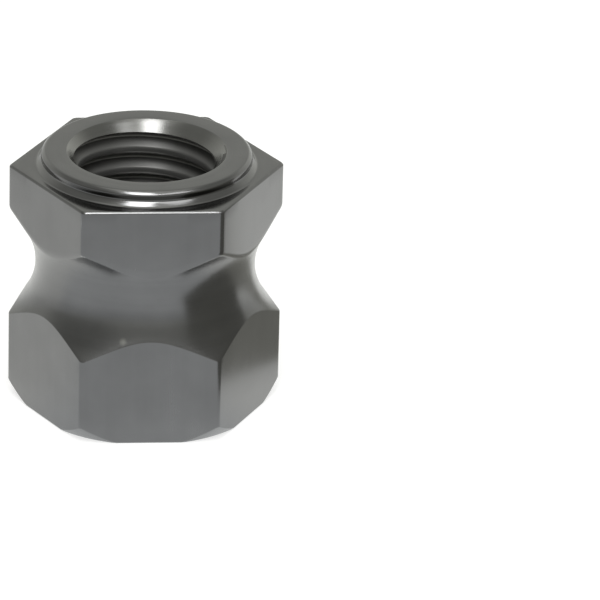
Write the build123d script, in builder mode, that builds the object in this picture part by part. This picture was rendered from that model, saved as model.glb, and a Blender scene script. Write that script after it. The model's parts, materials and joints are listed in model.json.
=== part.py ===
from build123d import *
from math import cos, pi, radians, tan
import os

os.makedirs("parts", exist_ok=True)

# Sizes in millimetres, angles in degrees. The nut stands on its counterbored seat face,
# at height 0, with the bore along +Z and a corner of the hexagon on +X.

# Hexagon bar
across_flats = 21.0        # flat to flat
corner_radius = 0.6        # rounding along the six upright corners
hexagon_length = 22.2      # seat face to the shoulder round the collar

# Waist groove, a round arc turned into the hexagon all the way round
waist_diameter = 19.4      # at the narrowest place
waist_arc_radius = 6.65    # radius of the arc itself
waist_height = 12.95       # height of the narrowest place

# Seat end
seat_diameter = 21.6       # flat face left inside the corner chamfer
seat_chamfer_angle = 50.0  # rise of the corner chamfer from the face

# Collar on the shoulder
collar_step = 1.25         # from a flat in to the collar's wall
collar_height = 1.3        # above the shoulder
collar_edge_chamfer = 0.3  # round the top
collar_foot = 0.46         # rise and reach of the cone at the collar's foot
collar_foot_radius = 0.45  # blend of that cone into the shoulder
shoulder_break = 0.15      # broken edge round the shoulder

# Bore, plain at the tapping drill's size for an M14 x 2 thread
thread_bore_diameter = 12.0
countersink_diameter = 14.1
countersink_angle = 90.0   # full angle of the cone
counterbore_diameter = 15.1
counterbore_depth = 3.3    # cylindrical wall, up from the seat face
floor_cone_angle = 90.0    # full angle of the cone between counterbore and thread
mouth_break = 0.4          # broken edge round the counterbore's mouth

# Worked out from the sizes above
flat_radius = across_flats / 2
corner_reach = (flat_radius - corner_radius) / cos(pi / 6) + corner_radius
seat_radius = seat_diameter / 2
waist_radius = waist_diameter / 2
collar_radius = flat_radius - collar_step
overall_height = hexagon_length + collar_height
bore_radius = thread_bore_diameter / 2
countersink_radius = countersink_diameter / 2
counterbore_radius = counterbore_diameter / 2
countersink_depth = (countersink_radius - bore_radius) / tan(radians(countersink_angle / 2))
floor_rise = (counterbore_radius - bore_radius) / tan(radians(floor_cone_angle / 2))

with BuildPart() as clutch_nut:
    # The bar, cut to length
    with BuildSketch() as bar_section:
        RegularPolygon(flat_radius, 6, major_radius=False)
        fillet(bar_section.vertices(), corner_radius)
    extrude(amount=hexagon_length)

    # The waist: where its arc leaves the flats it draws an arch on each of them
    with BuildSketch(Plane.XZ):
        with Locations((waist_radius + waist_arc_radius, waist_height)):
            Circle(waist_arc_radius)
    revolve(axis=Axis.Z, mode=Mode.SUBTRACT)

    # Corner chamfer of the seat end: a cone from the seat face out past the corners
    chamfer_reach = corner_reach + corner_radius
    chamfer_rise = (chamfer_reach - seat_radius) * tan(radians(seat_chamfer_angle))
    with BuildSketch(Plane.XZ):
        with BuildLine():
            Polyline((seat_radius, 0), (chamfer_reach, 0), (chamfer_reach, chamfer_rise), close=True)
        make_face()
    revolve(axis=Axis.Z, mode=Mode.SUBTRACT)

    # Light break round the shoulder, before the collar stands on it
    chamfer(clutch_nut.faces().sort_by(Axis.Z)[-1].outer_wire().edges(), shoulder_break)

    # The collar, coned and blended into the shoulder and chamfered at the top
    with BuildSketch(Plane.XY.offset(hexagon_length)):
        Circle(collar_radius)
    extrude(amount=collar_height)
    collar_root = clutch_nut.edges(Select.LAST).filter_by(GeomType.CIRCLE).sort_by(Axis.Z)[0]
    chamfer(collar_root, collar_foot)
    cone_foot = clutch_nut.edges(Select.LAST).filter_by(GeomType.CIRCLE).sort_by(Axis.Z)[0]
    fillet(cone_foot, collar_foot_radius)
    collar_top = clutch_nut.edges().filter_by(GeomType.CIRCLE).sort_by(Axis.Z)[-1]
    chamfer(collar_top, collar_edge_chamfer)

    # Everything inside, as one half-section from the seat face up to the collar's top
    with BuildSketch(Plane.XZ):
        with BuildLine():
            Polyline(
                (0, 0),
                (counterbore_radius + mouth_break, 0),
                (counterbore_radius, mouth_break),
                (counterbore_radius, counterbore_depth),
                (bore_radius, counterbore_depth + floor_rise),
                (bore_radius, overall_height - countersink_depth),
                (countersink_radius, overall_height),
                (0, overall_height),
                close=True,
            )
        make_face()
    revolve(axis=Axis.Z, mode=Mode.SUBTRACT)

clutch_nut.part.label = "clutch_nut"
export_step(clutch_nut.part, "parts/clutch_nut.step")
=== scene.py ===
import json
from collections import namedtuple
from math import cos, pi, radians, sin, tan

import bpy
from bpy.props import FloatProperty, FloatVectorProperty, IntProperty, PointerProperty
from mathutils import Matrix, Vector


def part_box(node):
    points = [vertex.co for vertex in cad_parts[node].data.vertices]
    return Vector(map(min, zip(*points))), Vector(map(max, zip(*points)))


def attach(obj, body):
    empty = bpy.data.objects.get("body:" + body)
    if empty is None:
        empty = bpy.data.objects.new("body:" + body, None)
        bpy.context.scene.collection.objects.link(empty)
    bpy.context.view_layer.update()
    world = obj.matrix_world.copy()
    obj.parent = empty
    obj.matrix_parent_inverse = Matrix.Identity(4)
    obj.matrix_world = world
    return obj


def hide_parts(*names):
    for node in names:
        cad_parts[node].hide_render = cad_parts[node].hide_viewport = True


bl_info = {
    "name": "Clutch Nut",
    "version": (1, 0, 0),
    "blender": (4, 5, 0),
    "location": "View3D > Sidebar > Clutch Nut",
    "description": "A waisted hexagon clutch nut with its cut thread, machined finishes and a studio",
    "category": "Add Mesh",
}

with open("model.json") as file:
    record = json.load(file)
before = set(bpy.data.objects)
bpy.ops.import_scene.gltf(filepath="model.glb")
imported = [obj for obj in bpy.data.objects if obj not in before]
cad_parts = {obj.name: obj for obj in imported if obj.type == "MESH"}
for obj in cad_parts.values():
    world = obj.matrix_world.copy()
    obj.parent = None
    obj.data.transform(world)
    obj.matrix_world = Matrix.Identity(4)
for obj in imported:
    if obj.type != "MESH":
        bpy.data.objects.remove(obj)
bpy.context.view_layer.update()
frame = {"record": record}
NODE = "clutch_nut"
BODY = "root"
PIECE = "threaded_nut"

MM = 0.001
SIDES = 6

# What the frame itself says of the nut, in metres
LOW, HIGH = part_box(NODE)
MOUNTS = {mount["name"]: mount for mount in frame["record"]["mounts"]}
ACROSS_FLATS = HIGH.y - LOW.y
OVERALL_HEIGHT = HIGH.z - LOW.z
THREAD_BORE = 2 * MOUNTS["thread"]["dims"]["r_mm"] * MM
COUNTERBORE = 2 * MOUNTS["counterbore"]["dims"]["r_mm"] * MM


def length(name, description, default):
    """A size in metres that the sidebar shows in the scene's unit."""
    return FloatProperty(
        name=name, description=description, default=default, unit="LENGTH", precision=5,
    )


def angle(name, description, degrees):
    return FloatProperty(
        name=name, description=description, default=radians(degrees), unit="ROTATION",
    )


def amount(name, description, default):
    return FloatProperty(name=name, description=description, default=default, min=0.0)


def colour(name, description, default):
    return FloatVectorProperty(
        name=name, description=description, default=default, subtype="COLOR", min=0.0, max=1.0,
    )


class NutSizes(bpy.types.PropertyGroup):
    """The hexagon bar and what is turned on it, at the sizes of the CAD model."""

    across_flats: length("Across Flats", "Width of the hexagon bar", ACROSS_FLATS)
    corner_radius: length("Corner Radius", "Rounding along the six upright corners", 0.6 * MM)
    collar_height: length("Collar Height", "Rise of the collar above the shoulder", 1.3 * MM)
    collar_step: length("Collar Step", "From a flat in to the collar's wall", 1.25 * MM)
    collar_edge: length("Collar Edge", "Chamfer round the collar's top", 0.3 * MM)
    collar_foot: length("Collar Foot", "Rise and reach of the cone at the collar's foot", 0.46 * MM)
    foot_blend: length("Foot Blend", "Radius that joins the foot's cone to the shoulder", 0.45 * MM)
    shoulder_break: length("Shoulder Break", "Broken edge round the shoulder", 0.15 * MM)
    waist_diameter: length("Waist Diameter", "The narrowest place of the groove", 19.4 * MM)
    waist_arc: length("Waist Arc Radius", "Radius of the groove's own arc", 6.65 * MM)
    waist_height: length("Waist Height", "Height of the narrowest place", 12.95 * MM)
    seat_diameter: length("Seat Diameter", "Where the corner chamfer meets the seat", 21.6 * MM)
    seat_chamfer: angle("Seat Chamfer", "Rise of the corner chamfer from the seat face", 50)
    countersink: length("Countersink", "Diameter of the thread's mouth in the collar", 14.1 * MM)
    counterbore: length("Counterbore", "Diameter of the plain bore in the seat end", COUNTERBORE)
    counterbore_depth: length("Counterbore Depth", "Plain wall up from the seat face", 3.3 * MM)
    mouth_break: length("Mouth Break", "Broken edge round the counterbore", 0.4 * MM)
    edge_softness: length("Edge Softness", "How far each sharp edge is worn round", 0.06 * MM)
    collar_softness: length("Collar Softness", "How far the collar's edges are worn", 0.1 * MM)
    rim_softness: length("Rim Softness", "How far the collar's top edge is worn", 0.18 * MM)
    groove_softness: length("Groove Softness", "How far the groove's top edge is worn", 0.42 * MM)


class ThreadSizes(bpy.types.PropertyGroup):
    """The right-hand thread that is cut in the bore."""

    minor: length("Minor Diameter", "Bore inside the crests", THREAD_BORE)
    major: length("Major Diameter", "Bore at the bottom of the groove", 14.0 * MM)
    pitch: length("Pitch", "Rise of one turn", 2.0 * MM)
    flank: angle("Flank Angle", "Lean of each flank from square", 30)
    crest_break: length("Crest Break", "Rounding of the crests' two edges", 0.12 * MM)
    start: angle("Start", "Turn of the thread's start about the axis", 100)
    steps: IntProperty(
        name="Steps per Turn", description="Flat steps in one turn of the thread", default=120, min=1,
    )


class SteelFinish(bpy.types.PropertyGroup):
    """Colour and marks of the machined steel, and the colours of its painted light and shade."""

    steel: colour("Steel", "Colour of the bare steel", (0.19, 0.19, 0.192))
    # Painted light: the countersink's cone is coloured lighter than the steel, which lights up its
    # hollow
    sunk: colour("Countersink", "Colour of the countersink's cone, lightened as painted light", (0.215, 0.215, 0.21))
    worn: colour("Worn Edge", "Colour where an edge is rubbed bright", (0.3, 0.3, 0.303))
    # Painted shade and light in the bore: the thread is coloured darker than the steel, its upward
    # flanks darker again towards the root, and the groove's bottom lighter
    cut: colour("Cut Thread", "Colour of the thread, darkened as painted shade of the bore", (0.13, 0.13, 0.127))
    painted_thread_shading: colour("Painted Shade", "Colour of the painted shade on the thread's upward flanks", (0.028, 0.028, 0.026))
    bottom: colour("Thread Bottom", "Colour of the painted light on the groove's bottom", (0.26, 0.26, 0.25))
    # Painted dark reflection: the dark band of colour on one side of the collar's wall
    scale: colour("Scale", "Colour of the painted dark reflection on the collar's wall", (0.05, 0.05, 0.047))
    # Painted glint: the small bright spot of colour on the groove
    painted_glint: colour("Painted Glint", "Colour of the painted glint on the groove", (0.34, 0.34, 0.33))
    turned_roughness: amount("Turned Roughness", "Gloss of the turned waist", 0.24)
    faced_roughness: amount("Faced Roughness", "Gloss of the collar, shoulder and seat", 0.17)
    sunk_roughness: amount("Countersink Roughness", "Gloss of the countersink's cone", 0.23)
    drawn_roughness: amount("Drawn Roughness", "Gloss of the hexagon's flats", 0.25)
    thread_roughness: amount("Thread Roughness", "Gloss of the cut thread", 0.36)
    thread_metal: amount("Thread Metal", "How metallic the thread looks", 0.45)
    feed: length("Feed", "Spacing of the turning tool's marks", 0.11 * MM)


class StudioSettings(bpy.types.PropertyGroup):
    """The photograph's camera, and the floor that the nut stands on."""

    focal_pixels: amount("Focal Length", "The photograph's focal length in pixels", 6500.0)
    frame_pixels: amount("Frame", "The photograph's width and height in pixels", 600.0)
    elevation: angle("Elevation", "How far the camera looks down", 24.76)
    azimuth: angle("Azimuth", "Turn of the nut as the camera sees it", 4.769)
    roll: angle("Roll", "Tilt of the camera about its own axis", -1.534)
    distance: length("Distance", "From the camera to the seat's centre, along the view", 579.62 * MM)
    aside: length("Aside", "How far the nut stands right of the view's middle", -13.988 * MM)
    above: length("Above", "How far the nut stands above the view's middle", -8.178 * MM)
    floor_radius: length("Floor Radius", "Size of the round floor", 3.0)


def own_settings(group):
    """The settings that a group adds to what every group has."""
    return [prop for prop in group.bl_rna.properties if prop.identifier not in ("rna_type", "name")]


def labelled(group):
    """What a group holds, by the names that the sidebar shows."""
    return {prop.name: getattr(group, prop.identifier) for prop in own_settings(group)}


# Formulas and groups in node trees

class Term:
    """A value in a node tree that can be used like a number in a formula."""

    def __init__(self, tree, socket):
        self.tree = tree
        self.socket = socket

    def math(self, operation, *others):
        return calculate(self.tree, operation, self, *others)

    def __add__(self, other):
        return self.math("ADD", other)

    def __sub__(self, other):
        return self.math("SUBTRACT", other)

    def __rsub__(self, other):
        return calculate(self.tree, "SUBTRACT", other, self)

    def __mul__(self, other):
        return self.math("MULTIPLY", other)

    def __truediv__(self, other):
        return self.math("DIVIDE", other)

    def __rtruediv__(self, other):
        return calculate(self.tree, "DIVIDE", other, self)

    def __neg__(self):
        return self.math("MULTIPLY", -1.0)

    __radd__ = __add__
    __rmul__ = __mul__


def give(tree, value, socket):
    """Gives a socket its value: a link where the value is in the tree, else a plain number."""
    if isinstance(value, Term):
        value = value.socket
    if isinstance(value, bpy.types.NodeSocket):
        tree.links.new(value, socket)
    else:
        socket.default_value = value


def place(tree, kind, settings=None, **inputs):
    """Adds a node with its own settings. Its inputs go by name, with an underscore for a space."""
    node = tree.nodes.new(kind)
    for name, value in (settings or {}).items():
        setattr(node, name, value)
    for name, value in inputs.items():
        give(tree, value, node.inputs[name.replace("_", " ")])
    return node


def calculate(tree, operation, *values):
    node = place(tree, "ShaderNodeMath", {"operation": operation})
    for socket, value in zip(node.inputs, values):
        give(tree, value, socket)
    return Term(tree, node.outputs[0])


def larger(a, b):
    return a.math("MAXIMUM", b)


def smaller(a, b):
    return a.math("MINIMUM", b)


def clamped(a, low, high):
    return smaller(larger(a, low), high)


def above(a, limit):
    return a.math("GREATER_THAN", limit)


def below(a, limit):
    return a.math("LESS_THAN", limit)


def size_of(a):
    return a.math("ABSOLUTE")


def sine(a):
    return a.math("SINE")


def cosine(a):
    return a.math("COSINE")


def diagonal(a, b):
    """The long side of a right-angled triangle."""
    return (a * a + b * b).math("SQRT")


def xyz(tree, x=0.0, y=0.0, z=0.0):
    return place(tree, "ShaderNodeCombineXYZ", X=x, Y=y, Z=z).outputs[0]


def coordinates(tree, socket):
    """The three numbers of a vector."""
    parts = place(tree, "ShaderNodeSeparateXYZ", Vector=socket)
    return [Term(tree, part) for part in parts.outputs]


SOCKETS = {float: "NodeSocketFloat", int: "NodeSocketInt", tuple: "NodeSocketVector"}


def new_tree(name, kind, inputs, outputs, output_type="NodeSocketFloat"):
    """A node group with named sockets: the inputs with their defaults, and the outputs."""
    tree = bpy.data.node_groups.new(name, kind)
    for label, default in inputs.items():
        socket = tree.interface.new_socket(label, in_out="INPUT", socket_type=SOCKETS[type(default)])
        socket.default_value = default
    for label in outputs:
        tree.interface.new_socket(label, in_out="OUTPUT", socket_type=output_type)
    entry = tree.nodes.new("NodeGroupInput")
    given = {label: Term(tree, entry.outputs[label]) for label in inputs}
    return tree, given, tree.nodes.new("NodeGroupOutput")


def new_shape(name, inputs):
    return new_tree(name, "GeometryNodeTree", inputs, ["Geometry"], "NodeSocketGeometry")


def new_effect(name, inputs, outputs):
    return new_tree(name, "ShaderNodeTree", inputs, outputs)


def set_inputs(modifier, values):
    """Sets a Geometry Nodes modifier's inputs, found by their names."""
    for item in modifier.node_group.interface.items_tree:
        if item.item_type == "SOCKET" and item.in_out == "INPUT" and item.name in values:
            modifier[item.identifier] = values[item.name]


# The body's tree

COLUMNS = 40            # of faces across one corner and the two half flats beside it
CORNER_COLUMNS = 12     # of those, the ones on the corner's rounding
EDGE_ROWS = 3           # of faces round a lightly worn edge
WORN_ROWS = 6           # round a well worn one
BLEND_ROWS = 8          # round the blend at the collar's foot
GROOVE_ROWS = 30        # over the groove's arc
WELD = 0.001 * MM       # points nearer than this are one point

# A corner of the half-section: its radius and height, how far along each side it is worn round,
# its rows of faces, and the rows on the run from it to the next corner
Corner = namedtuple("Corner", "point wear rows onward")


def hexagon_columns(parameter, flat, corner):
    """Direction and reach of the column of points at a parameter that runs from -1 to 1 over one corner.

    The middle of the run lies on the corner's rounding and the rest on the two half flats, so that
    a column stands exactly where the rounding begins.
    """
    on_corner = CORNER_COLUMNS / COLUMNS
    lean = pi / SIDES
    centre = (flat - corner) / cos(lean)
    straight = centre * sin(lean)
    turned = clamped(parameter / on_corner, -1.0, 1.0) * lean
    beyond = larger(size_of(parameter) - on_corner, 0.0) / (1 - on_corner) * straight
    side = parameter.math("SIGN")
    outward = centre + corner * cosine(turned) - beyond * sin(lean)
    sideways = corner * sine(turned) + side * beyond * cos(lean)
    reach = diagonal(outward, sideways)
    return outward / reach, sideways / reach, reach


def straight_run(start, end):
    (r0, z0), (r1, z1) = start, end
    return lambda t: (r0 + (r1 - r0) * t, z0 + (z1 - z0) * t)


def bent_run(start, corner, end):
    """A quadratic curve that leaves one side of a corner and joins the other."""
    (r0, z0), (r1, z1), (r2, z2) = start, corner, end

    def shape(t):
        a, b, c = (1 - t) * (1 - t), 2 * t * (1 - t), t * t
        return r0 * a + r1 * b + r2 * c, z0 * a + z1 * b + z2 * c

    return shape


def towards(start, end, distance):
    """The point that lies a distance from start on the way to end."""
    (r0, z0), (r1, z1) = start, end
    dr, dz = r1 - r0, z1 - z0
    part = distance / diagonal(dr, dz)
    return r0 + dr * part, z0 + dz * part


def body_tree(sizes, minor_diameter):
    """One sixth of the nut, band by band round its half-section, repeated about the axis."""
    tree, given, leave = new_shape("Turned Hexagon Body", {**sizes, "Minor Diameter": minor_diameter})
    flat, soft = given["Across Flats"] * 0.5, given["Edge Softness"]

    # Each band is a grid of one unit by one: across the corner, and along the half-section
    across, up, _ = coordinates(tree, place(tree, "GeometryNodeInputPosition").outputs[0])
    right, ahead, reach = hexagon_columns(across * 2.0, flat, given["Corner Radius"])
    run = up + 0.5

    # Radii and heights of the half-section
    shoulder = OVERALL_HEIGHT - given["Collar Height"]
    collar = flat - given["Collar Step"]
    edge, foot = given["Collar Edge"], given["Collar Foot"]
    sink, bore = given["Countersink"] * 0.5, given["Minor Diameter"] * 0.5
    wall, depth = given["Counterbore"] * 0.5, given["Counterbore Depth"]
    mouth, broken = given["Mouth Break"], given["Shoulder Break"]
    seat = given["Seat Diameter"] * 0.5
    chamfer = (reach - seat) * given["Seat Chamfer"].math("TANGENT")
    inset = reach * (flat - broken) / flat
    # The foot's cone rises at 45 degrees, so its blend begins this far from their corner
    blend = given["Foot Blend"] * tan(pi / 8)

    # The groove's arc, and where it meets the flats or the corner's rounding
    arc = given["Waist Arc Radius"]
    arc_out, arc_up = given["Waist Diameter"] * 0.5 + arc, given["Waist Height"]
    half_turn = ((arc_out - reach) / arc).math("ARCCOSINE")
    rise = arc * sine(half_turn)
    low_turn = half_turn - soft / arc
    high_turn = half_turn - given["Groove Softness"] / arc

    def on_arc(turn):
        """The arc's point at a turn up from its narrowest place."""
        return arc_out - arc * cosine(turn), arc_up + arc * sine(turn)

    # From the counterbore's mouth out, up the hexagon, over the collar and down the bore
    corners = {
        "mouth": Corner((wall + mouth, 0.0), soft, EDGE_ROWS, 3),
        "seat": Corner((smaller(seat, reach - soft * 2), 0.0), soft, EDGE_ROWS, 3),
        "chamfer": Corner((reach, larger(chamfer, soft * 2)), soft, EDGE_ROWS, 4),
        "groove_low": Corner((reach, arc_up - rise), soft, EDGE_ROWS, GROOVE_ROWS),
        "groove_high": Corner((reach, arc_up + rise), given["Groove Softness"], WORN_ROWS, 4),
        "flat": Corner((reach, shoulder - broken), soft, EDGE_ROWS, 2),
        "shoulder": Corner((inset, shoulder), soft, EDGE_ROWS, 3),
        "blend": Corner((collar + foot, shoulder), blend, BLEND_ROWS, 2),
        "foot": Corner((collar, shoulder + foot), given["Collar Softness"], EDGE_ROWS, 2),
        "edge": Corner((collar, OVERALL_HEIGHT - edge), given["Collar Softness"], EDGE_ROWS, 2),
        "top": Corner((collar - edge, OVERALL_HEIGHT), given["Rim Softness"], WORN_ROWS, 3),
        "rim": Corner((sink, OVERALL_HEIGHT), soft, EDGE_ROWS, 4),
        "thread_top": Corner((bore, OVERALL_HEIGHT - (sink - bore)), soft, EDGE_ROWS, 12),
        "thread_low": Corner((bore, depth + (wall - bore)), soft, EDGE_ROWS, 4),
        "floor": Corner((wall, depth), soft, EDGE_ROWS, 4),
        "wall": Corner((wall, mouth), soft, EDGE_ROWS, 2),
    }
    names = list(corners)
    following = dict(zip(names, names[1:] + names[:1]))
    leading = {after: name for name, after in following.items()}

    bands = []

    def band(rows, shape):
        """One strip of the surface, as wide as a sixth of the nut."""
        grid = place(
            tree, "GeometryNodeMeshGrid",
            Size_X=1.0, Size_Y=1.0, Vertices_X=COLUMNS + 1, Vertices_Y=rows + 1,
        )
        radius, height = shape(run)
        where = xyz(tree, radius * right, radius * ahead, height)
        moved = place(
            tree, "GeometryNodeSetPosition", Geometry=grid.outputs["Mesh"], Position=where,
        )
        bands.append(moved.outputs[0])

    # Each corner worn round, and then the runs between them
    ends = {}
    for name, corner in corners.items():
        before = on_arc(high_turn) if name == "groove_high" else corners[leading[name]].point
        after = on_arc(-low_turn) if name == "groove_low" else corners[following[name]].point
        start, end = (towards(corner.point, side, corner.wear) for side in (before, after))
        band(corner.rows, bent_run(start, corner.point, end))
        ends[name] = start, end
    for name, after in following.items():
        if name == "groove_low":
            band(corners[name].onward, lambda t: on_arc((low_turn + high_turn) * t - low_turn))
        else:
            band(corners[name].onward, straight_run(ends[name][1], ends[after][0]))

    joined = tree.nodes.new("GeometryNodeJoinGeometry")
    for piece in bands:
        give(tree, piece, joined.inputs[0])
    points = place(tree, "GeometryNodePoints", Count=SIDES)
    turn = Term(tree, place(tree, "GeometryNodeInputIndex").outputs[0]) * (2 * pi / SIDES)
    sixths = place(
        tree, "GeometryNodeInstanceOnPoints",
        Points=points.outputs[0], Instance=joined.outputs[0], Rotation=xyz(tree, z=turn),
    )
    whole = place(tree, "GeometryNodeRealizeInstances", Geometry=sixths.outputs[0])
    welded = place(tree, "GeometryNodeMergeByDistance", Geometry=whole.outputs[0], Distance=WELD)
    give(tree, welded.outputs[0], leave.inputs[0])
    return tree


# The thread's tree

ROOT_WIDTH = 1 / 16     # half the width of the groove's bottom, as a share of the pitch
ROOT_FLAT = 0.4         # how much of that half stays flat before the corner is rounded
# The crest's worn edge, from the flank on: how far out and how far along, as shares of its break
CREST_EDGE = ((1.0, 0.0), (0.35, 0.75), (-1.0, 4.8))


def tooth_tree(thread):
    """The tap's tooth: one outline swept up a helix through the whole bore, closed at both ends."""
    tree, given, leave = new_shape("Thread Tooth", thread)
    pitch, relief = given["Pitch"], given["Crest Break"]
    minor, major = given["Minor Diameter"] * 0.5, given["Major Diameter"] * 0.5
    slope = given["Flank Angle"].math("TANGENT")

    # The helix starts and ends clear of the two cones
    turns = (OVERALL_HEIGHT / pitch).math("CEIL") + 1.0
    helix = place(
        tree, "GeometryNodeCurveSpiral", Resolution=given["Steps per Turn"], Rotations=turns,
        Start_Radius=minor, End_Radius=minor, Height=turns * pitch, Reverse=True,
    )
    upright = place(tree, "GeometryNodeSetCurveNormal", {"mode": "Z_UP"}, Curve=helix.outputs[0])

    # The outline's upper half, from the groove's bottom past the crest's line: x is outwards from
    # the crests, and y is up the bore
    out, tip = major - minor, pitch * ROOT_WIDTH
    bend = tip * (1 - ROOT_FLAT)
    flank_end = tip + (out - relief) * slope
    upper = [(out, tip * ROOT_FLAT), (out - bend, tip + bend * slope)]
    upper += [(relief * outward, flank_end + relief * onward) for outward, onward in CREST_EDGE]
    outline = upper + [(x, -y) for x, y in reversed(upper)]
    ring = place(tree, "GeometryNodeCurvePrimitiveCircle", Resolution=len(outline))
    choose = place(tree, "GeometryNodeIndexSwitch", {"data_type": "VECTOR"})
    while len(choose.index_switch_items) < len(outline):
        choose.index_switch_items.new()
    give(tree, place(tree, "GeometryNodeInputIndex").outputs[0], choose.inputs["Index"])
    for number, point in enumerate(outline, start=1):
        give(tree, xyz(tree, *point), choose.inputs[number])
    profile = place(
        tree, "GeometryNodeSetPosition", Geometry=ring.outputs[0], Position=choose.outputs[0],
    )
    tooth = place(
        tree, "GeometryNodeCurveToMesh",
        Curve=upright.outputs[0], Profile_Curve=profile.outputs[0], Fill_Caps=True,
    )
    spin = xyz(tree, z=given["Start"])
    turned = place(tree, "GeometryNodeTransform", Geometry=tooth.outputs[0], Rotation=spin)
    give(tree, turned.outputs[0], leave.inputs[0])
    return tree


# The nut's tree

SHARP_FOLD = radians(35)        # a fold past this stays a sharp edge
UPRIGHT = 0.02                  # upward lean of a face that still counts as upright


def nut_tree(sizes, thread, materials):
    """The whole nut: the body less the tooth, with the finish of each of its surfaces."""
    tree, given, leave = new_shape("Clutch Nut", {**sizes, **thread})

    def part(name, group):
        node = place(tree, "GeometryNodeGroup", {"node_tree": group, "label": name})
        for socket in node.inputs:
            give(tree, given[socket.name], socket)
        return node.outputs[0]

    body = part("Body", body_tree(sizes, thread["Minor Diameter"]))
    tooth = part("Tooth", tooth_tree(thread))
    cut = place(
        tree, "GeometryNodeMeshBoolean", {"operation": "DIFFERENCE", "solver": "EXACT"},
        Mesh_1=body, Mesh_2=tooth,
    )
    welded = place(tree, "GeometryNodeMergeByDistance", Geometry=cut.outputs[0], Distance=WELD)
    smooth = place(tree, "GeometryNodeSetShadeSmooth", Geometry=welded.outputs[0])
    fold = Term(tree, place(tree, "GeometryNodeInputMeshEdgeAngle").outputs["Unsigned Angle"])
    sharp = place(
        tree, "GeometryNodeSetShadeSmooth", {"domain": "EDGE"},
        Geometry=smooth.outputs[0], Selection=above(fold, SHARP_FOLD), Shade_Smooth=False,
    )

    # Where each finish lies
    x, y, z = coordinates(tree, place(tree, "GeometryNodeInputPosition").outputs[0])
    lean = coordinates(tree, place(tree, "GeometryNodeInputNormal").outputs[0])[2]
    radius = diagonal(x, y)
    soft = given["Edge Softness"]
    sink, wall, bore, major, flat = (
        given[name] * 0.5
        for name in ("Countersink", "Counterbore", "Minor Diameter", "Major Diameter", "Across Flats")
    )
    depth, shoulder = given["Counterbore Depth"], OVERALL_HEIGHT - given["Collar Height"]
    upper_cone = larger(sink - (OVERALL_HEIGHT - z), bore)
    lower_cone = larger(wall - (z - depth), bore)
    off_cones = above(size_of(radius - larger(upper_cone, lower_cone)), soft * 0.5)
    under_sink = below(z, OVERALL_HEIGHT - (sink - bore))
    over_floor = above(z, depth + wall - bore)
    on_flats = below(size_of(lean), UPRIGHT) * above(radius, flat - soft)
    on_shoulder, in_mouth = above(z, shoulder - soft), below(radius, wall + given["Mouth Break"])
    zones = {
        "turned": True,
        "faced": larger(on_shoulder, in_mouth),
        "sunk": (1.0 - under_sink) * below(radius, sink),
        "drawn": on_flats,
        "threaded": below(radius, major + soft) * larger(off_cones, under_sink * over_floor),
    }
    surface = sharp.outputs[0]
    for finish, zone in zones.items():
        dressed = place(
            tree, "GeometryNodeSetMaterial",
            Geometry=surface, Selection=zone, Material=materials[finish],
        )
        surface = dressed.outputs[0]
    give(tree, surface, leave.inputs[0])
    return tree


# Effects that the finishes share

FINE_SHARE = 0.35       # of a surface's tone that follows its fine marks; the rest is broad
EDGE_START = 0.63       # pointiness at which an edge begins to look rubbed
EDGE_SPAN = 0.1         # and how much more makes it fully so
# Painted shade on the thread's upward flanks, and painted light on the groove's bottom
PAINTED_SHADE_LEAN = (0.45, 0.8)         # upward lean of a flank, from none of the painted shade to all of it
PAINTED_SHADE_DEPTH = (0.05, 0.7)        # from crest to root, where the painted shade begins and where it is full
BOTTOM_DEPTH = (0.1, 0.3)       # the same for the painted light on the groove's bottom
# Painted dark reflection: a dark band of colour on the collar's wall, on its -Y side
WALL_SHADE_LOW, WALL_SHADE_HIGH = 22.7 * MM, 23.18 * MM       # heights on the collar's wall
WALL_SHADE_FADE = 0.12 * MM
WALL_SHADE_RADIUS = 8.8 * MM         # just inside the wall
WALL_SHADE_SIDE = (0.45, 0.9)        # how far round towards -Y it begins and is full
# Painted glint: a small bright spot of colour on the groove's lower edge
GLINT_PLACE = (-2.41 * MM, -10.25 * MM, 9.74 * MM)
GLINT_SIZE = 0.45 * MM
GLINT_CORE = 0.1                 # the share of its size that is bright right through


def fade(value, low, high, start=0.0, end=1.0):
    """Goes smoothly from start to end while a value goes from low to high."""
    node = place(
        value.tree, "ShaderNodeMapRange", {"interpolation_type": "SMOOTHSTEP"},
        Value=value, From_Min=low, From_Max=high, To_Min=start, To_Max=end,
    )
    return Term(value.tree, node.outputs[0])


def noise(tree, where, scale, detail, roughness, dimensions="3D"):
    node = place(
        tree, "ShaderNodeTexNoise", {"noise_dimensions": dimensions},
        Vector=where, Scale=scale, Detail=detail, Roughness=roughness,
    )
    return Term(tree, node.outputs["Fac"])


def object_place(tree):
    """Where a point lies on the piece, in metres."""
    return place(tree, "ShaderNodeTexCoord").outputs["Object"]


def tool_marks():
    """Rings that a turning tool leaves: they run round the axis and change along radius and height."""
    tree, given, leave = new_effect("Tool Marks", {"Feed": 0.1 * MM, "Wander": 0.5}, ["Height", "Tone"])
    x, y, z = coordinates(tree, object_place(tree))
    half_section = xyz(tree, diagonal(x, y) / given["Feed"], z / given["Feed"])
    fine = noise(tree, half_section, scale=1.0, detail=3.0, roughness=0.6, dimensions="2D")
    broad = noise(tree, half_section, scale=0.13, detail=2.0, roughness=0.5, dimensions="2D")
    give(tree, fine + (broad - 0.5) * given["Wander"], leave.inputs["Height"])
    give(tree, fine * FINE_SHARE + broad * (1 - FINE_SHARE), leave.inputs["Tone"])
    return tree


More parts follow.
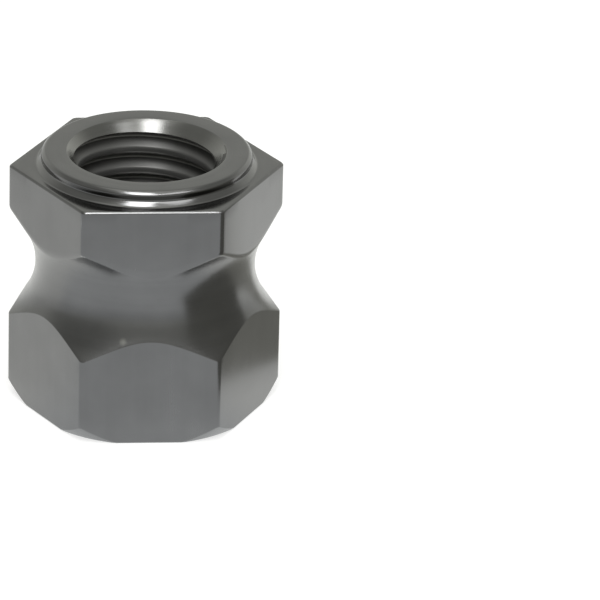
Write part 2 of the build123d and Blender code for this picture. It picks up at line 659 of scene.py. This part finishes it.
def drawn_lines():
    """Faint lines that the drawing die leaves along the bar."""
    tree, given, leave = new_effect(
        "Drawn Lines", {"Spacing": 0.1 * MM, "Stretch": 60.0}, ["Height", "Tone"],
    )
    spacing = given["Spacing"]
    x, y, z = coordinates(tree, object_place(tree))
    drawn = xyz(tree, x / spacing, y / spacing, z / (spacing * given["Stretch"]))
    fine = noise(tree, drawn, scale=1.0, detail=3.0, roughness=0.6)
    broad = noise(tree, drawn, scale=0.1, detail=2.0, roughness=0.5)
    give(tree, fine, leave.inputs["Height"])
    give(tree, fine * FINE_SHARE + broad * (1 - FINE_SHARE), leave.inputs["Tone"])
    return tree


def satin_skin():
    """Fine pits and slow clouds that a tumbled steel part has all over, and its rubbed edges."""
    sizes = {"Pit Size": 0.05 * MM, "Cloud Size": 4.0 * MM}
    tree, given, leave = new_effect("Satin Skin", sizes, ["Pits", "Clouds", "Rubbed"])
    where = object_place(tree)
    for size, detail, output in (("Pit Size", 2.0, "Pits"), ("Cloud Size", 3.0, "Clouds")):
        spots = noise(tree, where, scale=1.0 / given[size], detail=detail, roughness=0.55)
        give(tree, spots, leave.inputs[output])
    pointiness = Term(tree, place(tree, "ShaderNodeNewGeometry").outputs["Pointiness"])
    rubbed = clamped((pointiness - EDGE_START) / EDGE_SPAN, 0.0, 1.0)
    give(tree, rubbed, leave.inputs["Rubbed"])
    return tree


def paint_thread_shading(thread):
    """Painted shade on the thread's upward flanks, darker towards the root, and painted light on the
    bottom of the groove under it.
    """
    radii = {"Crest": thread.minor / 2, "Root": thread.major / 2}
    tree, given, leave = new_effect("Thread Painted Shading", radii, ["Painted Shade", "Bottom"])
    where = place(tree, "ShaderNodeTexCoord")
    x, y, _ = coordinates(tree, where.outputs["Object"])
    lean = coordinates(tree, where.outputs["Normal"])[2]
    upward = fade(lean, *PAINTED_SHADE_LEAN)
    depth = (diagonal(x, y) - given["Crest"]) / (given["Root"] - given["Crest"])
    give(tree, fade(depth, *PAINTED_SHADE_DEPTH) * upward, leave.inputs["Painted Shade"])
    give(tree, fade(depth, *BOTTOM_DEPTH) * (1.0 - upward), leave.inputs["Bottom"])
    return tree


def paint_collar_wall_shade():
    """Painted dark reflection: a band of dark colour on one side of the collar's upright wall."""
    tree, given, leave = new_effect("Painted Collar Wall Shade", {"Low": WALL_SHADE_LOW, "High": WALL_SHADE_HIGH}, ["Scale"])
    low, high = given["Low"], given["High"]
    x, y, z = coordinates(tree, object_place(tree))
    radius = diagonal(x, y)
    band = fade(z, low, low + WALL_SHADE_FADE) * fade(z, high - WALL_SHADE_FADE, high, 1.0, 0.0)
    # The painted dark reflection's mask
    scale = band * above(radius, WALL_SHADE_RADIUS) * fade(-y / radius, *WALL_SHADE_SIDE)
    give(tree, scale, leave.inputs["Scale"])
    return tree


def paint_groove_glint():
    """A small painted glint on the groove's lower edge: a bright spot of colour."""
    tree, given, leave = new_effect("Painted Glint", {"Place": GLINT_PLACE, "Size": GLINT_SIZE}, ["Painted Glint"])
    away_from = place(tree, "ShaderNodeVectorMath", {"operation": "DISTANCE"})
    give(tree, object_place(tree), away_from.inputs[0])
    give(tree, given["Place"], away_from.inputs[1])
    distance = Term(tree, away_from.outputs["Value"])
    painted_glint = fade(distance, given["Size"] * GLINT_CORE, given["Size"], 1.0, 0.0)
    give(tree, painted_glint, leave.inputs["Painted Glint"])
    return tree


# The finishes

TONES = (0.9, 1.1)      # of the steel's own colour, where its marks are darkest and lightest
TONE_GAIN = 0.8         # how strongly the marks and the clouds sway the colour
CLOUD_GAIN = 1.4
GLOSS_SWING = 0.1       # and the roughness
CLOUD_SWING = 0.08
RUB_POLISH = 0.06       # how much smoother a rubbed edge is
PIT_SHARE = 0.5         # depth of the pits, as a share of the tool's marks


def opaque(shade):
    return (*shade, 1.0)


def blend_colour(tree, share, first, second):
    """Goes from the first colour to the second. Both are sockets or four numbers."""
    node = place(tree, "ShaderNodeMix", {"data_type": "RGBA"})
    # The node holds sockets for every kind of value, and its colours are inputs 6 and 7 and output 2
    for index, value in ((0, share), (6, first), (7, second)):
        give(tree, value, node.inputs[index])
    return node.outputs[2]


def new_material(name):
    material = bpy.data.materials.new(name)
    material.use_nodes = True
    material.node_tree.nodes.clear()
    return material


def steel(name, effects, shades, roughness, marks, spacing, depth, metal=1.0, painted_marks=()):
    """Machined steel: its own tool's marks over the satin skin that all the nut's surfaces share.

    The shades are the plain and the worn one. Each painted mark of light or shade is an effect, its mask
    and its colour.
    """
    material = new_material(name)
    tree = material.node_tree

    def effect(kind):
        return place(tree, "ShaderNodeGroup", {"node_tree": effects[kind]})

    skin, tool = effect("skin"), effect(marks)
    for label, value in spacing.items():
        tool.inputs[label].default_value = value
    pits, clouds, rubbed = (Term(tree, skin.outputs[label]) for label in ("Pits", "Clouds", "Rubbed"))
    tone, height = Term(tree, tool.outputs["Tone"]), Term(tree, tool.outputs["Height"])
    plain, worn = shades
    dark, light = (opaque(part * level for part in plain) for level in TONES)
    mottle = (tone - 0.5) * TONE_GAIN + (clouds - 0.5) * CLOUD_GAIN + 0.5
    shade = blend_colour(tree, clamped(mottle, 0.0, 1.0), dark, light)
    shade = blend_colour(tree, rubbed, shade, opaque(worn))
    # Painted light and shade over the steel's colour: a glint, a dark reflection, and the thread's shade
    # and light
    for kind, mask, painted_colour in painted_marks:
        shade = blend_colour(tree, effect(kind).outputs[mask], shade, opaque(painted_colour))
    sway = (tone - 0.5) * GLOSS_SWING + (clouds - 0.5) * CLOUD_SWING
    bump = place(
        tree, "ShaderNodeBump", Strength=1.0, Distance=depth, Height=height + pits * PIT_SHARE,
    )
    shader = place(
        tree, "ShaderNodeBsdfPrincipled", Base_Color=shade, Metallic=metal,
        Roughness=roughness + sway - rubbed * RUB_POLISH, Normal=bump.outputs[0],
    )
    place(tree, "ShaderNodeOutputMaterial", Surface=shader.outputs[0])
    return material


def finishes(finish, thread):
    """The nut's materials, by the zones of its surface that they lie on."""
    effects = {
        "rings": tool_marks(), "lines": drawn_lines(), "skin": satin_skin(),
        "painted_thread_shading": paint_thread_shading(thread), "scale": paint_collar_wall_shade(), "painted_glint": paint_groove_glint(),
    }
    bare, turning = (finish.steel, finish.worn), {"Feed": finish.feed}
    kinds = {
        "turned": dict(
            shades=bare, roughness=finish.turned_roughness,
            marks="rings", spacing=turning, depth=0.0006 * MM,
            # The bright spot on the groove is a painted glint
            painted_marks=[("painted_glint", "Painted Glint", finish.painted_glint)],
        ),
        "faced": dict(
            shades=bare, roughness=finish.faced_roughness,
            marks="rings", spacing=turning, depth=0.0004 * MM,
            # The collar's dark band is a painted dark reflection
            painted_marks=[("scale", "Scale", finish.scale)],
        ),
        "sunk": dict(
            # The cone's lighter colour is painted light
            shades=(finish.sunk, finish.worn), roughness=finish.sunk_roughness,
            marks="rings", spacing=turning, depth=0.0004 * MM,
        ),
        "drawn": dict(
            shades=bare, roughness=finish.drawn_roughness,
            marks="lines", spacing={"Spacing": 0.12 * MM}, depth=0.0005 * MM,
        ),
        "threaded": dict(
            # The thread's darker colour is painted shade of the bore; its marks are painted shade and
            # painted light
            shades=(finish.cut, finish.steel), roughness=finish.thread_roughness,
            marks="rings", spacing={"Feed": 0.06 * MM}, depth=0.001 * MM, metal=finish.thread_metal,
            painted_marks=[("painted_thread_shading", "Painted Shade", finish.painted_thread_shading), ("painted_thread_shading", "Bottom", finish.bottom)],
        ),
    }
    return {kind: steel(kind + "_steel", effects, **details) for kind, details in kinds.items()}


# The nut

class CLUTCHNUT_OT_nut(bpy.types.Operator):
    """Build the threaded nut and let it stand for its CAD solid"""

    bl_idname = "clutch_nut.nut"
    bl_label = "Threaded Nut"

    def execute(self, context):
        scene = context.scene
        sizes, thread = labelled(scene.nut_sizes), labelled(scene.nut_thread)
        materials = finishes(scene.nut_finish, scene.nut_thread)
        maker = bpy.data.objects.new("nut_maker", bpy.data.meshes.new("nut_maker"))
        scene.collection.objects.link(maker)
        modifier = maker.modifiers.new("Clutch Nut", "NODES")
        modifier.node_group = nut_tree(sizes, thread, materials)
        set_inputs(modifier, {**sizes, **thread})
        normals = maker.modifiers.new("Weighted Normal", "WEIGHTED_NORMAL")
        normals.keep_sharp = True
        context.view_layer.update()
        evaluated = maker.evaluated_get(context.evaluated_depsgraph_get())
        mesh = bpy.data.meshes.new_from_object(evaluated)
        bpy.data.objects.remove(maker)
        if len(mesh.vertices) < COLUMNS * SIDES:
            raise RuntimeError("the nut's tree gave no body")
        # The trees leave an empty first slot, which no face uses
        if mesh.materials[0] is None:
            mesh.materials.pop(index=0)
        mesh.name = PIECE
        nut = bpy.data.objects.new(PIECE, mesh)
        scene.collection.objects.link(nut)
        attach(nut, BODY)
        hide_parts(NODE)
        return {"FINISHED"}


# The floor

FLOOR_SIDES = 96
FLOOR_COLOUR = (0.5, 0.5, 0.5)
FLOOR_GLOW = 0.68                       # what the floor adds to its own lit colour towards white
FLOOR_LEVELS = (0.87, 1.05)             # how bright the steel mirrors it, in front of the nut and behind
FLOOR_STEP = (-11.0 * MM, -1.0 * MM)    # where the one level gives way to the other
NEAR_FLOOR = (13.0 * MM, 17.0 * MM)     # a brighter ring close round the nut, from full to none
NEAR_LEVEL = 0.1
FAR_FLOOR = (46.0 * MM, 100.0 * MM)     # further out the floor falls to a share of its level
FAR_SHARE = 0.7
RIGHT_STEP = (8.0 * MM, 14.0 * MM)      # it is brightest at the right, behind the nut's middle
RIGHT_BACK = (2.0 * MM, 12.0 * MM)
RIGHT_LEVEL = 0.17
FRONT_TINT = (0.975, 1.0, 1.0)
BACK_TINT = (0.99, 1.0, 0.965)


def away(studio, azimuth, elevation=0.0):
    """A direction from the nut. Azimuth 0 is towards the camera and grows to the camera's right."""
    turn = azimuth - studio.azimuth
    return Vector((sin(turn) * cos(elevation), -cos(turn) * cos(elevation), sin(elevation)))


def along(tree, socket, way):
    """How far a vector reaches in a direction."""
    node = place(tree, "ShaderNodeVectorMath", {"operation": "DOT_PRODUCT"})
    give(tree, socket, node.inputs[0])
    give(tree, way, node.inputs[1])
    return Term(tree, node.outputs["Value"])


def join_shaders(tree, kind, first, second, **inputs):
    """Mixes or adds two shaders."""
    node = place(tree, kind, **inputs)
    for socket, shader in zip(node.inputs[-2:], (first, second)):
        give(tree, shader.outputs[0], socket)
    return node


def floor_material(studio):
    """A white floor: for the camera it keeps the nut's shadow, and the steel mirrors its plain level."""
    material = new_material("white_floor")
    tree = material.node_tree
    path = place(tree, "ShaderNodeLightPath")
    lit = larger(Term(tree, path.outputs["Is Camera Ray"]), path.outputs["Is Transmission Ray"])
    paper = place(tree, "ShaderNodeBsdfDiffuse", Color=opaque(FLOOR_COLOUR))
    glow = place(tree, "ShaderNodeEmission", Color=opaque((1.0, 1.0, 1.0)), Strength=lit * FLOOR_GLOW)
    seen = join_shaders(tree, "ShaderNodeAddShader", paper, glow)
    where = object_place(tree)
    behind, aside = (along(tree, where, away(studio, turn)) for turn in (pi, pi / 2))
    outward = diagonal(behind, aside)
    level = fade(behind, *FLOOR_STEP, *FLOOR_LEVELS)
    level = level + fade(outward, *NEAR_FLOOR, NEAR_LEVEL, 0.0)
    level = level + fade(aside, *RIGHT_STEP, 0.0, RIGHT_LEVEL) * fade(behind, *RIGHT_BACK)
    level = level * fade(outward, *FAR_FLOOR, 1.0, FAR_SHARE)
    tint = blend_colour(tree, fade(behind, *FLOOR_STEP), opaque(FRONT_TINT), opaque(BACK_TINT))
    mirrored = place(tree, "ShaderNodeEmission", Color=tint, Strength=level)
    glossy = path.outputs["Is Glossy Ray"]
    top = join_shaders(tree, "ShaderNodeMixShader", seen, mirrored, Fac=glossy)
    clear = place(tree, "ShaderNodeBsdfTransparent")
    from_below = place(tree, "ShaderNodeNewGeometry").outputs["Backfacing"]
    one_sided = join_shaders(tree, "ShaderNodeMixShader", top, clear, Fac=from_below)
    place(tree, "ShaderNodeOutputMaterial", Surface=one_sided.outputs[0])
    return material


# The studio round the nut, its angles in degrees

SURROUND = 0.36         # plain level of the studio
ROOM_TINT = (0.99, 1.0, 0.93)
# Soft patches of the surroundings, each from full within one angle to nothing beyond another
PATCHES = {
    "front_wall": dict(azimuth=0, elevation=8, inner=12, outer=48, added=0.08),
    "dark_left": dict(azimuth=-58, elevation=22, inner=10, outer=36, added=-0.1),
    "back_wall": dict(azimuth=180, elevation=25, inner=20, outer=50, added=0.25),
    "low_left_back": dict(azimuth=-128, elevation=4, inner=12, outer=38, added=0.25),
    "low_right_back": dict(azimuth=134, elevation=4, inner=12, outer=38, added=0.36),
    "overhead": dict(azimuth=0, elevation=90, inner=8, outer=34, added=0.62),
}
HORIZON_RISE = (0.0, 0.36)      # the low sky in front pales towards the horizon
HORIZON_FRONT = (-0.3, 0.5)
HORIZON_LEVEL = 0.1

# Lamps: where each stands as the nut sees it, half its width and height as angles, and its radiance
LAMP_DISTANCE = 0.8
LAMPS = {
    "key_softbox": dict(azimuth=-3, elevation=53, across=14, up=11, radiance=6.0),
    "top_softbox": dict(azimuth=-11, elevation=67, across=10, up=8, radiance=5.5),
    "side_softbox": dict(azimuth=42, elevation=54, across=15, up=9, radiance=2.4),
}

# Dark cards at the right: how far behind the nut's middle each begins and ends, height and level
CARD_REACH = 17.0 * MM
CARD_TINT = (1.0, 1.0, 0.9)
CARDS = {
    "tall_card": dict(near=-23.0 * MM, far=-2.0 * MM, height=27.0 * MM, level=0.22),
    "low_card": dict(near=-2.0 * MM, far=12.0 * MM, height=9.0 * MM, level=0.4),
}

SENSOR = 36.0           # width of the camera's sensor in millimetres
VIEW_END = 10.0         # how far it sees, in metres


def make_world(scene, studio):
    """White behind the nut for the camera, and a soft grey studio for the steel."""
    scene.world = bpy.data.worlds.new("studio_world")
    scene.world.use_nodes = True
    tree = scene.world.node_tree
    tree.nodes.clear()
    way = place(tree, "ShaderNodeTexCoord").outputs["Generated"]
    level = SURROUND
    for patch in PATCHES.values():
        centre = away(studio, radians(patch["azimuth"]), radians(patch["elevation"]))
        none, full = (cos(radians(patch[edge])) for edge in ("outer", "inner"))
        level = fade(along(tree, way, centre), none, full, 0.0, patch["added"]) + level
    upward = along(tree, way, (0.0, 0.0, 1.0))
    front = along(tree, way, away(studio, 0.0))
    level = fade(upward, *HORIZON_RISE, HORIZON_LEVEL, 0.0) * fade(front, *HORIZON_FRONT) + level
    camera = place(tree, "ShaderNodeLightPath").outputs["Is Camera Ray"]
    room = place(tree, "ShaderNodeBackground", Color=opaque(ROOM_TINT), Strength=level)
    white = place(tree, "ShaderNodeBackground", Color=opaque((1.0, 1.0, 1.0)), Strength=1.0)
    seen = join_shaders(tree, "ShaderNodeMixShader", room, white, Fac=camera)
    place(tree, "ShaderNodeOutputWorld", Surface=seen.outputs[0])


def add_lamp(scene, studio, name, azimuth, elevation, across, up, radiance):
    """A soft box that faces the nut. Its watts are its radiance times pi times the ellipse's area."""
    lamp = bpy.data.lights.new(name, "AREA")
    lamp.shape = "ELLIPSE"
    lamp.size = 2 * LAMP_DISTANCE * tan(radians(across))
    lamp.size_y = 2 * LAMP_DISTANCE * tan(radians(up))
    lamp.energy = radiance * pi * (pi / 4) * lamp.size * lamp.size_y
    holder = bpy.data.objects.new(name, lamp)
    scene.collection.objects.link(holder)
    way = away(studio, radians(azimuth), radians(elevation))
    holder.location = way * LAMP_DISTANCE
    holder.location.z += OVERALL_HEIGHT
    holder.rotation_euler = (-way).to_track_quat("-Z", "Y").to_euler()
    holder.visible_camera = False


def add_card(scene, studio, name, near, far, height, level):
    """A dark card that only the steel sees, standing to the camera's right of the nut."""
    right, back = away(studio, pi / 2), away(studio, pi)
    foot = [right * CARD_REACH + back * reach for reach in (near, far)]
    top = [point + Vector((0.0, 0.0, height)) for point in reversed(foot)]
    mesh = bpy.data.meshes.new(name)
    mesh.from_pydata(foot + top, [], [(0, 1, 2, 3)])
    material = new_material(name)
    tree = material.node_tree
    glow = place(tree, "ShaderNodeEmission", Color=opaque(CARD_TINT), Strength=level)
    place(tree, "ShaderNodeOutputMaterial", Surface=glow.outputs[0])
    mesh.materials.append(material)
    card = bpy.data.objects.new(name, mesh)
    scene.collection.objects.link(card)
    for kind in ("camera", "diffuse", "transmission", "shadow"):
        setattr(card, "visible_" + kind, False)


def add_camera(scene, studio):
    """Stands the camera where the photograph was taken from."""
    lens = bpy.data.cameras.new("photo_camera")
    lens.sensor_width = SENSOR
    lens.lens = studio.focal_pixels / studio.frame_pixels * SENSOR
    lens.clip_end = VIEW_END
    camera = bpy.data.objects.new("photo_camera", lens)
    scene.collection.objects.link(camera)
    pitch, roll = studio.elevation, studio.roll
    level = Vector((1.0, 0.0, 0.0))
    raised = Vector((0.0, sin(pitch), cos(pitch)))
    forward = Vector((0.0, cos(pitch), -sin(pitch)))
    right = level * cos(roll) - raised * sin(roll)
    up = level * sin(roll) + raised * cos(roll)
    spot = -right * studio.aside - up * studio.above - forward * studio.distance
    turn = Matrix.Rotation(-studio.azimuth, 3, "Z")
    axes = Matrix((turn @ right, turn @ up, turn @ -forward)).transposed()
    camera.matrix_world = Matrix.Translation(turn @ spot) @ axes.to_4x4()
    scene.camera = camera


class CLUTCHNUT_OT_studio(bpy.types.Operator):
    """Set up the floor, the lamps, the surroundings and the photograph's camera"""

    bl_idname = "clutch_nut.studio"
    bl_label = "Studio"

    def execute(self, context):
        scene = context.scene
        studio = scene.nut_studio
        bpy.ops.mesh.primitive_circle_add(
            vertices=FLOOR_SIDES, radius=studio.floor_radius, fill_type="NGON",
        )
        floor = context.object
        floor.name = "floor"
        floor.data.materials.append(floor_material(studio))
        make_world(scene, studio)
        for name, lamp in LAMPS.items():
            add_lamp(scene, studio, name, **lamp)
        for name, card in CARDS.items():
            add_card(scene, studio, name, **card)
        add_camera(scene, studio)
        scene.view_settings.view_transform = "Standard"
        return {"FINISHED"}


class CLUTCHNUT_PT_panel(bpy.types.Panel):
    """The nut's operators and settings"""

    bl_idname = "CLUTCHNUT_PT_panel"
    bl_label = "Clutch Nut"
    bl_space_type = "VIEW_3D"
    bl_region_type = "UI"
    bl_category = "Clutch Nut"

    def draw(self, context):
        for operator in OPERATORS:
            self.layout.operator(operator.bl_idname)
        for name in SETTINGS:
            group = getattr(context.scene, name)
            box = self.layout.box()
            for prop in own_settings(group):
                box.prop(group, prop.identifier)


SETTINGS = {
    "nut_sizes": NutSizes, "nut_thread": ThreadSizes,
    "nut_finish": SteelFinish, "nut_studio": StudioSettings,
}
OPERATORS = (CLUTCHNUT_OT_nut, CLUTCHNUT_OT_studio)
CLASSES = (*SETTINGS.values(), *OPERATORS, CLUTCHNUT_PT_panel)


def register():
    for made in CLASSES:
        bpy.utils.register_class(made)
    for name, group in SETTINGS.items():
        setattr(bpy.types.Scene, name, PointerProperty(type=group))


def unregister():
    for name in SETTINGS:
        delattr(bpy.types.Scene, name)
    for made in reversed(CLASSES):
        bpy.utils.unregister_class(made)


def main():
    register()
    bpy.ops.clutch_nut.nut()
    bpy.ops.clutch_nut.studio()


if __name__ == "__main__":
    main()
